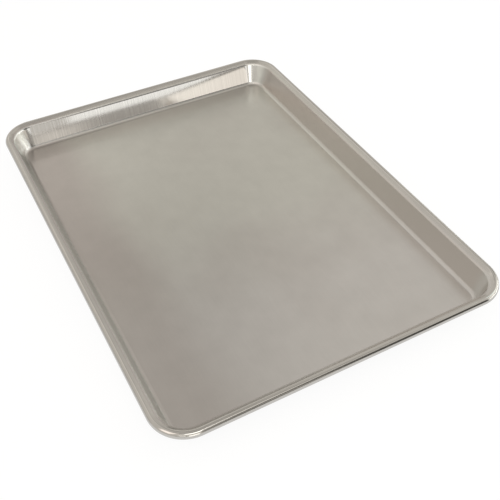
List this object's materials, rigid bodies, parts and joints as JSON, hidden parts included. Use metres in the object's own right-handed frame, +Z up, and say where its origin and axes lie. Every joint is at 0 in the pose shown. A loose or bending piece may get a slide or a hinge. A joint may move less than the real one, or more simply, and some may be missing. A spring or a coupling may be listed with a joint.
{
  "type": "quarter sheet pan",
  "caption": "Shallow rectangular baking tray pressed from one aluminium sheet, with leaning walls, rounded corners and an edge rolled over a steel wire.",
  "frame": {"origin": "middle of the pan, on the surface that it stands on, under the floor", "axes": "+Z up out of the pan, +Y along the long sides, +X across it"},
  "size_m": [0.2416, 0.329, 0.02],
  "materials": {
    "satin_aluminium": "natural mill finish, satin on the floor and shelf, brighter where the walls and corners were drawn and the edge was rolled",
    "wire_steel": "dull galvanised steel"
  },
  "bodies": {
    "root": {"pan_shell": "satin_aluminium", "rim_wire": "wire_steel"}
  },
  "joints": []
}
